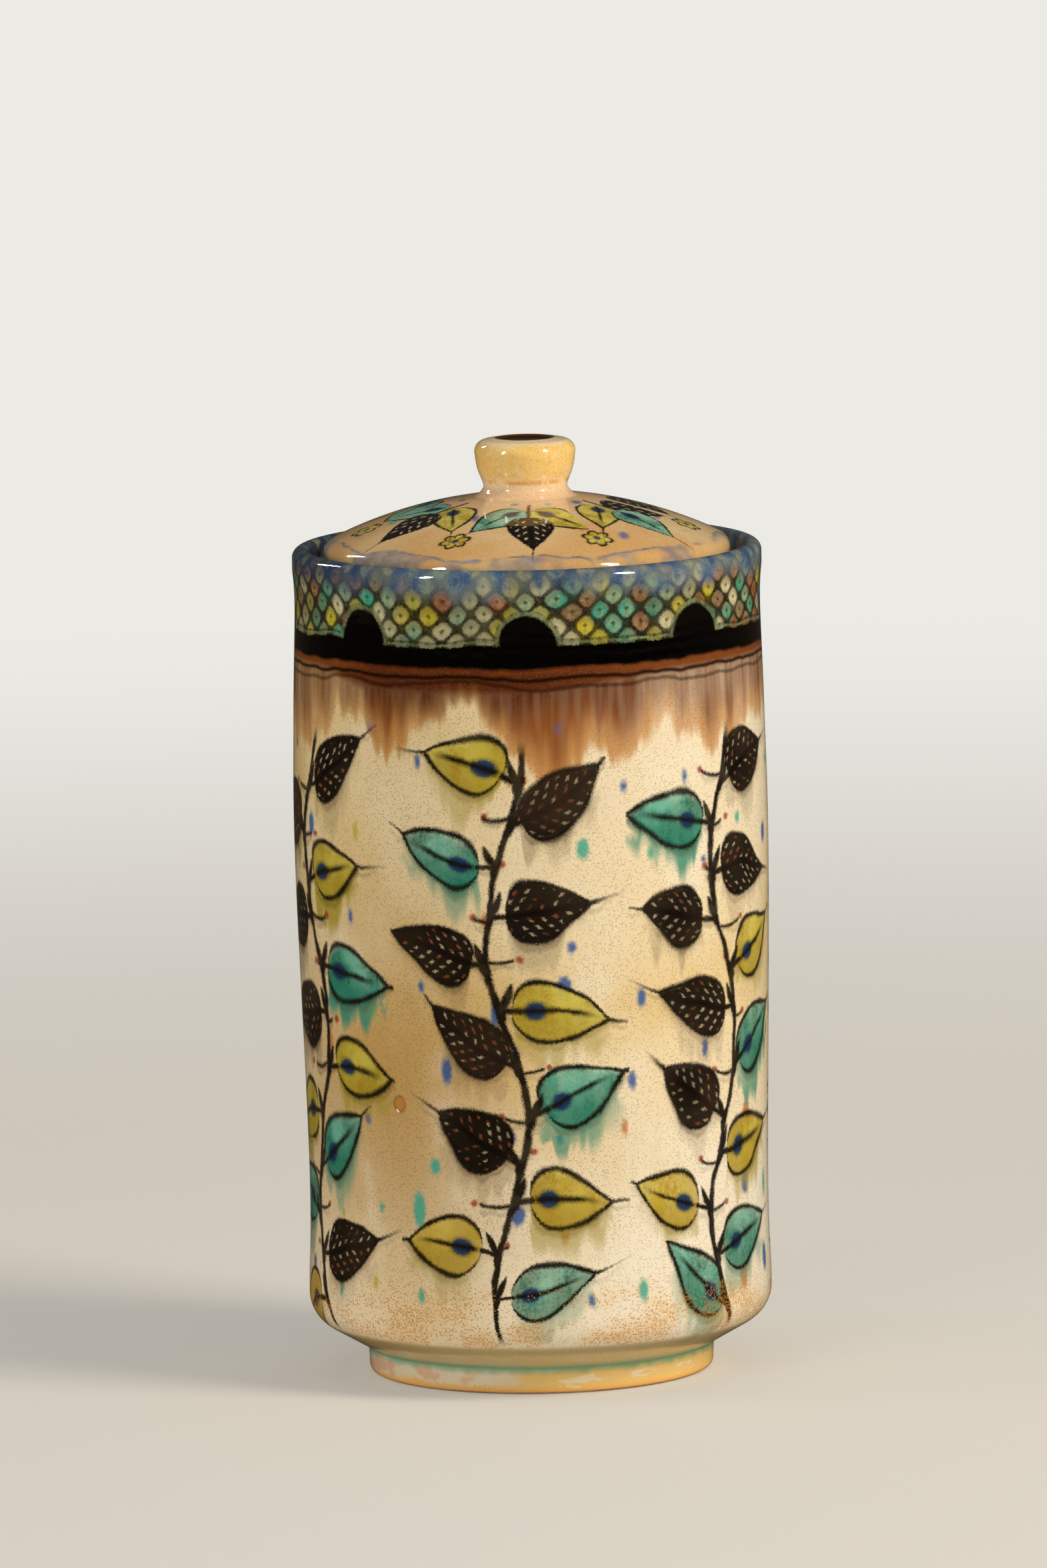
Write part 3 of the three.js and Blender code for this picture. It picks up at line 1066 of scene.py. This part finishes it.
jarShape = {
    "footRadius": 44.1,
    "footTopRadius": 44.4,
    "footHeight": 6.8,
    "footRingWidth": 6.0,
    "footRingDraft": 0.8,
    "footRound": 1.8,
    "footInnerRound": 0.4,
    "recessDepth": 5.2,
    "floorThickness": 6.8,
    "floorCorner": 12.0,
    "heelAngle": 30.0,
    "heelRound": 9.0,
    "wall": ((59.4, 24.7), (58.9, 52.7), (60.65, 131.7), (60.25, 170.7), (59.5, 197.7), (60.0, 207.7)),
    "wallSteps": 14,
    "wallThickness": 5.2,
    "lipThickness": 4.0,
    "lipOuterRound": 2.5,
    "lipInnerRound": 1.3,
    "galleryDepth": 5.3,
    "galleryWidth": 9.2,
    "galleryThickness": 4.6,
    "galleryNoseRound": 1.6,
    "galleryUnderslope": 50.0,
    "galleryCornerRound": 0.9,
    "clayLine": 0.7,
    "footBare": 1.0,
    "lipGlazeEnd": 0.6,
    "sides": 240,
    "rowStep": 2.2,
    "arcStep": 0.45,
    "unevenness": 0.28,
    "ringDepth": 0.1,
    "ringPitch": 7.5,
    "sway": 0.2,
    "seed": 0.0,
}
jarHeight = jarHigh.z / mm
lipRadius = jarShape["wall"][-1][0]
lipInnerRadius = lipRadius - jarShape["lipThickness"]
galleryHeight = jarHeight - jarShape["galleryDepth"]
galleryRadius = lipInnerRadius - jarShape["galleryWidth"]


def jarOutline(shape):
    thickness, nose, recess = shape["wallThickness"], shape["galleryNoseRound"], shape["recessDepth"]
    wall = throughPoints([Vector(p) for p in shape["wall"]], shape["wallSteps"])
    wallBottom = wall[0]
    footInner = shape["footRadius"] - shape["footRingWidth"]
    floorHeight = recess + shape["floorThickness"]
    heelRise = (wallBottom.x - shape["footTopRadius"]) * math.tan(math.radians(shape["heelAngle"]))
    heelHeight = shape["footHeight"] + heelRise
    heelTop = heelHeight + shape["heelRound"]
    innerTop = lipRadius - thickness
    underside = galleryHeight - shape["galleryThickness"]
    slopeEnd = underside - (innerTop - galleryRadius) * math.tan(math.radians(shape["galleryUnderslope"]))
    inside = [p - Vector((thickness, 0)) for p in wall
              if floorHeight + shape["floorCorner"] < p.y < slopeEnd - nose]
    return roundCorners([
        corner(0, recess),
        corner(footInner, recess, recess / 3),
        corner(footInner + shape["footRingDraft"], 0, shape["footInnerRound"]),
        corner(shape["footRadius"], 0, shape["footRound"]),
        corner(shape["footTopRadius"], shape["footHeight"], shape["footRingDraft"]),
        corner(wallBottom.x, heelHeight, shape["heelRound"]),
        *plain([p for p in wall if heelTop < p.y]),
        corner(lipRadius, jarHeight, shape["lipOuterRound"]),
        corner(lipInnerRadius, jarHeight, shape["lipInnerRound"]),
        corner(lipInnerRadius, galleryHeight, shape["galleryCornerRound"]),
        corner(galleryRadius, galleryHeight, nose),
        corner(galleryRadius, underside, nose),
        corner(innerTop, slopeEnd, nose),
        *plain(reversed(inside)),
        corner(wallBottom.x - thickness, floorHeight, shape["floorCorner"]),
        corner(0, floorHeight),
    ], shape["arcStep"])


lidShape = {
    "edgeRound": 3.5,
    "crownRadius": 114.0,
    "thickness": 5.0,
    "flangeDepth": 9.0,
    "flangeThickness": 4.2,
    "flangeRound": 1.4,
    "flangeRootRound": 3.0,
    "seatGap": 0.3,
    "seatRound": 0.5,
    "flangeClearance": 1.2,
    "clayLine": 0.4,
    "bareInside": 6.0,
    "bareOutside": 1.5,
    "sides": 216,
    "rowStep": 1.6,
    "arcStep": 0.4,
    "unevenness": 0.12,
    "ringDepth": 0.05,
    "ringPitch": 5.0,
    "sway": 0.0,
    "seed": 3.0,
}
lidSeat = galleryHeight + lidShape["seatGap"]
edgeRound = lidShape["edgeRound"]
crownRadius = lidShape["crownRadius"]
edgeCentre = Vector((lidHigh.x / mm - edgeRound, lidSeat + edgeRound))
crownCentre = Vector((0, edgeCentre.y - math.sqrt((crownRadius - edgeRound) ** 2 - edgeCentre.x ** 2)))


def crownHeight(radius, depth=0.0):
    return crownCentre.y + math.sqrt((crownRadius - depth) ** 2 - radius ** 2)


def lidOutline(shape):
    thickness, rootRound, tipRound = shape["thickness"], shape["flangeRootRound"], shape["flangeRound"]
    flangeRadius = galleryRadius - shape["flangeClearance"]
    hollowRadius = flangeRadius - shape["flangeThickness"]
    flangeBottom = lidSeat - shape["flangeDepth"]
    towardsEdge = edgeCentre - crownCentre
    edgeAngle = math.atan2(towardsEdge.y, towardsEdge.x)
    hollowAngle = math.acos((hollowRadius - rootRound) / (crownRadius - thickness))
    up = math.pi / 2
    return roundCorners([
        *plain(arcPoints(crownCentre, crownRadius - thickness, up, hollowAngle, 24)),
        corner(hollowRadius, crownHeight(hollowRadius, thickness), rootRound),
        corner(hollowRadius, flangeBottom, tipRound),
        corner(flangeRadius, flangeBottom, tipRound),
        corner(flangeRadius, lidSeat, shape["seatRound"]),
        *plain(arcPoints(edgeCentre, edgeRound, -up, edgeAngle, 24)),
        *plain(arcPoints(crownCentre, crownRadius, edgeAngle, up, 40)[1:]),
    ], shape["arcStep"])


knobShape = {
    "lutingFillet": 3.0,
    "tuck": 0.15,
    "neckRadius": 10.75,
    "neckHeight": 2.7,
    "widest": 12.9,
    "flare": 0.7,
    "widestHeight": 10.9,
    "height": 14.6,
    "topRound": 3.0,
    "topDrop": 0.9,
    "dishRadius": 7.4,
    "dishDepth": 0.7,
    "dishSlope": 1.3,
    "dishRound": 0.5,
    "sides": 120,
    "rowStep": 0.5,
    "arcStep": 0.3,
    "unevenness": 0.06,
    "ringDepth": 0.03,
    "ringPitch": 2.4,
    "sway": 0.0,
    "seed": 5.0,
}


def knobOutline(shape):
    neck, fillet, widest = shape["neckRadius"], shape["lutingFillet"], shape["widest"]
    neckHeight, dishRadius, dishDepth = shape["neckHeight"], shape["dishRadius"], shape["dishDepth"]
    top = knobHigh.z / mm
    foot = top - shape["height"]
    skirt = neck + fillet
    bed = [crownHeight(radius) - shape["tuck"] for radius in (0, skirt / 2, skirt)]
    flare = throughPoints([
        Vector((skirt, bed[2])),
        Vector((neck + fillet * 0.5, foot + neckHeight * 0.08)),
        Vector((neck + fillet * 0.15, foot + neckHeight * 0.45)),
        Vector((neck, foot + neckHeight)),
        Vector((neck + (widest - neck) * shape["flare"], foot + (neckHeight + shape["widestHeight"]) / 2)),
        Vector((widest, foot + shape["widestHeight"])),
    ], 10)
    return roundCorners([
        corner(0, bed[0]),
        corner(skirt / 2, bed[1]),
        *plain(flare),
        corner(widest, top - shape["topDrop"], shape["topRound"]),
        corner(dishRadius, top, shape["dishRound"]),
        corner(dishRadius - shape["dishSlope"], top - dishDepth, dishDepth),
        corner(0, top - dishDepth),
    ], shape["arcStep"])


# Turning: a geometry node tree spins an outline into uneven, hand-thrown clay

finishes = ("bareClay", "outerGlaze", "innerGlaze")


def makeTurning():
    tree = bpy.data.node_groups.new("turnedClay", "GeometryNodeTree")
    wanted = {
        "Geometry": ("outline",),
        "Int": ("sides", "rows"),
        "Float": ("unevenness", "ringDepth", "ringPitch", "sway", "swayHeight", "seed"),
        "Material": finishes,
    }
    sockets = {}
    for kind, labels in wanted.items():
        for label in labels:
            socket = tree.interface.new_socket(label, in_out="INPUT", socket_type="NodeSocket" + kind)
            sockets[label] = socket.identifier
    tree.interface.new_socket("Clay", in_out="OUTPUT", socket_type="NodeSocketGeometry")
    given = {s.name: Wire(s) for s in tree.nodes.new("NodeGroupInput").outputs if s.name}

    def attribute(label, kind):
        source = addNode(tree, "GeometryNodeInputNamedAttribute", {"Name": label}, data_type=kind)
        return out(source, "Attribute")

    def fromOutline(label, kind, index):
        picked = addNode(tree, "GeometryNodeSampleIndex", {
            "Geometry": given["outline"], "Value": attribute(label, kind), "Index": index}, data_type=kind)
        return out(picked, "Value")

    def step(kind, inputs, **settings):
        return out(addNode(tree, "GeometryNode" + kind, {"Geometry": clay, **inputs}, **settings))

    # Where each point of a grid goes: u runs round the piece and v along its outline
    clay = out(addNode(tree, "GeometryNodeMeshGrid", {
        "Size X": 1.0, "Size Y": 1.0, "Vertices X": given["sides"] + 1, "Vertices Y": given["rows"]}), "Mesh")
    u, v, _ = separated(out(addNode(tree, "GeometryNodeInputPosition")))
    u, v = u + 0.5, v + 0.5
    row = v * (given["rows"] - 1)
    nearest = mathNode("ROUND", row)
    radius, _, height = separated(fromOutline("position", "FLOAT_VECTOR", nearest))
    outRadius, _, outHeight = separated(fromOutline("outward", "FLOAT_VECTOR", nearest))
    angle = (u - 0.5) * (2 * math.pi)
    east, south = sine(angle), cosine(angle)
    inClay = combined(radius * east, radius * south + given["seed"], height * 0.6)
    lumps = addNode(tree, "ShaderNodeTexNoise", {"Vector": inClay, "Scale": 24.0, "Detail": 2.0})
    ring = (sine((height / given["ringPitch"]) * (2 * math.pi) + angle) - 1) * 0.5
    push = ring * given["ringDepth"] - out(lumps, "Fac") * given["unevenness"]
    push = push * fromOutline("looseness", "FLOAT", nearest)
    radius = larger(radius + outRadius * push, 0.0)
    height = height + outHeight * push
    sway = sine(height * (2 * math.pi) / given["swayHeight"]) * given["sway"]
    moved = combined(radius * east + sway, -(radius * south), height)

    finish = fromOutline("finish", "INT", floorOf(row))
    clay = step("StoreNamedAttribute", {"Name": "finish", "Value": finish}, data_type="INT", domain="FACE")
    clay = step("StoreNamedAttribute", {"Name": "turned", "Value": combined(u, v)},
                data_type="FLOAT2", domain="CORNER")
    clay = step("SetPosition", {"Position": moved})
    clay = step("MergeByDistance", {"Distance": 0.000002})
    clay = step("SetShadeSmooth", {"Shade Smooth": True})
    clay = step("RealizeInstances", {})
    finish = attribute("finish", "INT")
    for number, label in enumerate(finishes):
        clay = step("SetMaterial", {"Selection": isNear(finish, float(number)), "Material": given[label]})
    addNode(tree, "NodeGroupOutput", {"Clay": clay})
    return tree, sockets


turnedClay, turningSockets = makeTurning()


def addObject(name, data):
    holder = bpy.data.objects.new(name, data)
    bpy.context.scene.collection.objects.link(holder)
    return holder


def turnPiece(name, outline, shape, finishOf, looseOf, glazes):
    points = fillRuns(outline, shape["rowStep"])
    last = len(points) - 1
    mesh = bpy.data.meshes.new(name + "_outline")
    mesh.from_pydata([(p.x * mm, 0, p.y * mm) for p in points], [(i, i + 1) for i in range(last)], [])
    outward = mesh.attributes.new("outward", "FLOAT_VECTOR", "POINT")
    loose = mesh.attributes.new("looseness", "FLOAT", "POINT")
    finish = mesh.attributes.new("finish", "INT", "POINT")
    for i, at in enumerate(points):
        run = (points[min(i + 1, last)] - points[max(i - 1, 0)]).normalized()
        outward.data[i].vector = (run.y, 0, -run.x)
        loose.data[i].value = looseOf(at)
        finish.data[i].value = finishOf(i, points)
    source = addObject(name + "_outline", mesh)
    turning = source.modifiers.new("turning", "NODES")
    turning.node_group = turnedClay
    values = {key: shape[key] * mm for key in ("unevenness", "ringDepth", "ringPitch", "sway")}
    values.update(zip(finishes, glazes))
    values.update(sides=shape["sides"], rows=len(points), swayHeight=jarHigh.z, seed=shape["seed"])
    for label, value in values.items():
        turning[turningSockets[label]] = value
    depsgraph = bpy.context.evaluated_depsgraph_get()
    turned = bpy.data.meshes.new_from_object(
        source.evaluated_get(depsgraph), preserve_all_data_layers=True, depsgraph=depsgraph)
    bpy.data.objects.remove(source)
    turned.name = name
    print(name, "turned:", len(turned.polygons), "faces")
    return addObject(name, turned)


def rise(value, start, end):
    return min(max((value - start) / (end - start), 0.0), 1.0)


# Which finish a face has: 0 is bare clay, 1 the outer glaze and 2 the inner glaze

def jarFinish(i, points):
    crest = max(range(len(points)), key=lambda k: points[k].y)
    at = (points[i] + points[min(i + 1, len(points) - 1)]) / 2
    if i >= crest:
        return 1 if at.y > galleryHeight + jarShape["lipGlazeEnd"] else 2
    bare = at.x < jarShape["footRadius"] - jarShape["footBare"] or at.y < jarShape["clayLine"]
    return 0 if bare else 1


def lidFinish(i, points):
    # The flange and the seat are bare, to a little past their edges
    at = points[i]
    bareStart = galleryRadius - lidShape["bareInside"]
    bareEnd = edgeCentre.x + lidShape["bareOutside"]
    if at.y < lidSeat + lidShape["clayLine"] and bareStart < at.x < bareEnd:
        return 0
    return 2 if i < len(points) / 2 and at.x < galleryRadius else 1


jar = turnPiece(
    "jar_body", jarOutline(jarShape), jarShape, jarFinish,
    lambda at: rise(at.y, 0.2, 8) * (0.25 + 0.75 * rise(at.y, 212, 196)),
    (bareClay, wallCoat, insideCoat))
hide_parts("jar")
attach(jar, "vessel")

lid = turnPiece(
    "lid_dome", lidOutline(lidShape), lidShape, lidFinish,
    lambda at: rise(at.y, lidSeat + 1, lidSeat + 4),
    (bareClay, lidCoat, insideCoat))
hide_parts("lid")
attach(lid, "cover")

knob = turnPiece(
    "finger_knob", knobOutline(knobShape), knobShape, lambda i, points: 1,
    lambda at: rise(at.y, knobLow.z / mm + 1, knobLow.z / mm + 3),
    (knobCoat, knobCoat, knobCoat))
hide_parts("lid_knob")
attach(knob, "cover")


# Studio: pale floor, soft light and the camera

studio = {
    "floor": "e6e2da",
    "floorInGlaze": "4a4238",
    "backdrop": "eceae5",
    "floorReach": 30.0,
    "fadeStart": 0.3,
    "fadeEnd": 1.6,
    "ambient": 0.4,
    "reflected": 0.05,
    "aimShare": 0.55,
    # name: (direction from the front towards the right, height angle, distance, width, height, watts, warmth)
    "lamps": {
        "key": (62, 32, 2.2, 0.9, 0.9, 34.0, "fff2de"),
        "fill": (-30, 15, 2.6, 1.4, 1.0, 11.0, "fdf6ea"),
        "low_left": (-88, 12, 1.5, 0.5, 0.7, 3.4, "fff4e4"),
        "spark_right": (53, 35, 2.0, 0.24, 0.7, 42.0, "ffffff"),
        "spark_left": (-52, 23, 2.0, 0.2, 0.7, 35.0, "ffffff"),
        "spark_back": (-131, 30, 2.0, 0.1, 0.5, 16.0, "ffffff"),
    },
    "seenInGlaze": ("spark_right", "spark_left", "spark_back"),
}


def addFloor(look):
    reach = look["floorReach"]
    mesh = bpy.data.meshes.new("studio_floor")
    mesh.from_pydata([(-reach, -reach, 0), (reach, -reach, 0), (reach, reach, 0), (-reach, reach, 0)], [],
                     [(0, 1, 2, 3)])
    material = bpy.data.materials.new("studio_floor")
    tree = clearTree(material)
    path = addNode(tree, "ShaderNodeLightPath")
    pale = washed(look, "floor", (out(path, "Is Glossy Ray"), "floorInGlaze"))
    matt = addNode(tree, "ShaderNodeBsdfDiffuse", {"Color": pale})
    plainLight = addNode(tree, "ShaderNodeEmission", {"Color": tone(look["backdrop"])})
    x, y, _ = separated(out(addNode(tree, "ShaderNodeTexCoord"), "Object"))
    fade = smooth(lengthOf(x, y), look["fadeStart"], look["fadeEnd"]) * 0.75 + 0.25
    mixed = addNode(tree, "ShaderNodeMixShader", {
        0: fade * out(path, "Is Camera Ray"), 1: out(matt), 2: out(plainLight)})
    addNode(tree, "ShaderNodeOutputMaterial", {"Surface": out(mixed)})
    mesh.materials.append(material)
    floor = addObject("studio_floor", mesh)


def grey(value):
    return (value, value, value, 1.0)


def addWorld(look):
    world = bpy.data.worlds.new("studio_air")
    tree = clearTree(world)
    path = addNode(tree, "ShaderNodeLightPath")
    strength = blend(out(path, "Is Glossy Ray"), grey(look["ambient"]), grey(look["reflected"]))
    strength = blend(out(path, "Is Camera Ray"), strength, grey(1.0))
    air = addNode(tree, "ShaderNodeBackground", {
        "Color": tone(look["backdrop"]), "Strength": channels(strength)[0]})
    addNode(tree, "ShaderNodeOutputWorld", {"Surface": out(air)})
    bpy.context.scene.world = world


def addLamps(look):
    target = Vector((0, 0, jarHigh.z * look["aimShare"]))
    for name, (heading, lift, distance, width, tall, watts, color) in look["lamps"].items():
        heading, lift = math.radians(heading), math.radians(lift)
        level = math.cos(lift)
        towards = Vector((math.sin(heading) * level, -math.cos(heading) * level, math.sin(lift)))
        lamp = bpy.data.lights.new(name, "AREA")
        lamp.shape = "ELLIPSE"
        lamp.size = width
        lamp.size_y = tall
        lamp.energy = watts
        lamp.color = tone(color)[:3]
        holder = addObject(name, lamp)
        holder.location = target + towards * distance
        holder.rotation_euler = towards.to_track_quat("Z", "Y").to_euler()
        holder.visible_glossy = name in look["seenInGlaze"]
        holder.visible_diffuse = name not in look["seenInGlaze"]


view = {
    "distance": 3.8,
    "lookDown": 9.9,
    "focalPixels": 22427.85,
    "photoHeight": 2349,
    "raise": 0.0007,
    "pan": -0.02885,
    "pitch": -7.68656,
    "roll": -1.06874,
}


def addCamera(look):
    pitch, pan, roll = (math.radians(look[k]) for k in ("pitch", "pan", "roll"))
    camera = bpy.data.cameras.new("photo_view")
    camera.sensor_width = 36.0
    camera.lens = look["focalPixels"] * camera.sensor_width / look["photoHeight"]
    camera.clip_end = 100.0
    turn = Matrix.Rotation(-pan, 4, "Z") @ Matrix.Rotation(math.pi / 2 + pitch, 4, "X")
    turn = turn @ Matrix.Rotation(roll, 4, "Z")
    height = look["distance"] * math.tan(math.radians(look["lookDown"])) + look["raise"]
    holder = addObject("photo_view", camera)
    holder.matrix_world = Matrix.Translation((0, -look["distance"], height)) @ turn
    bpy.context.scene.camera = holder


addFloor(studio)
addWorld(studio)
addLamps(studio)
addCamera(view)
bpy.context.scene.view_settings.view_transform = "Standard"
print("studio ready")
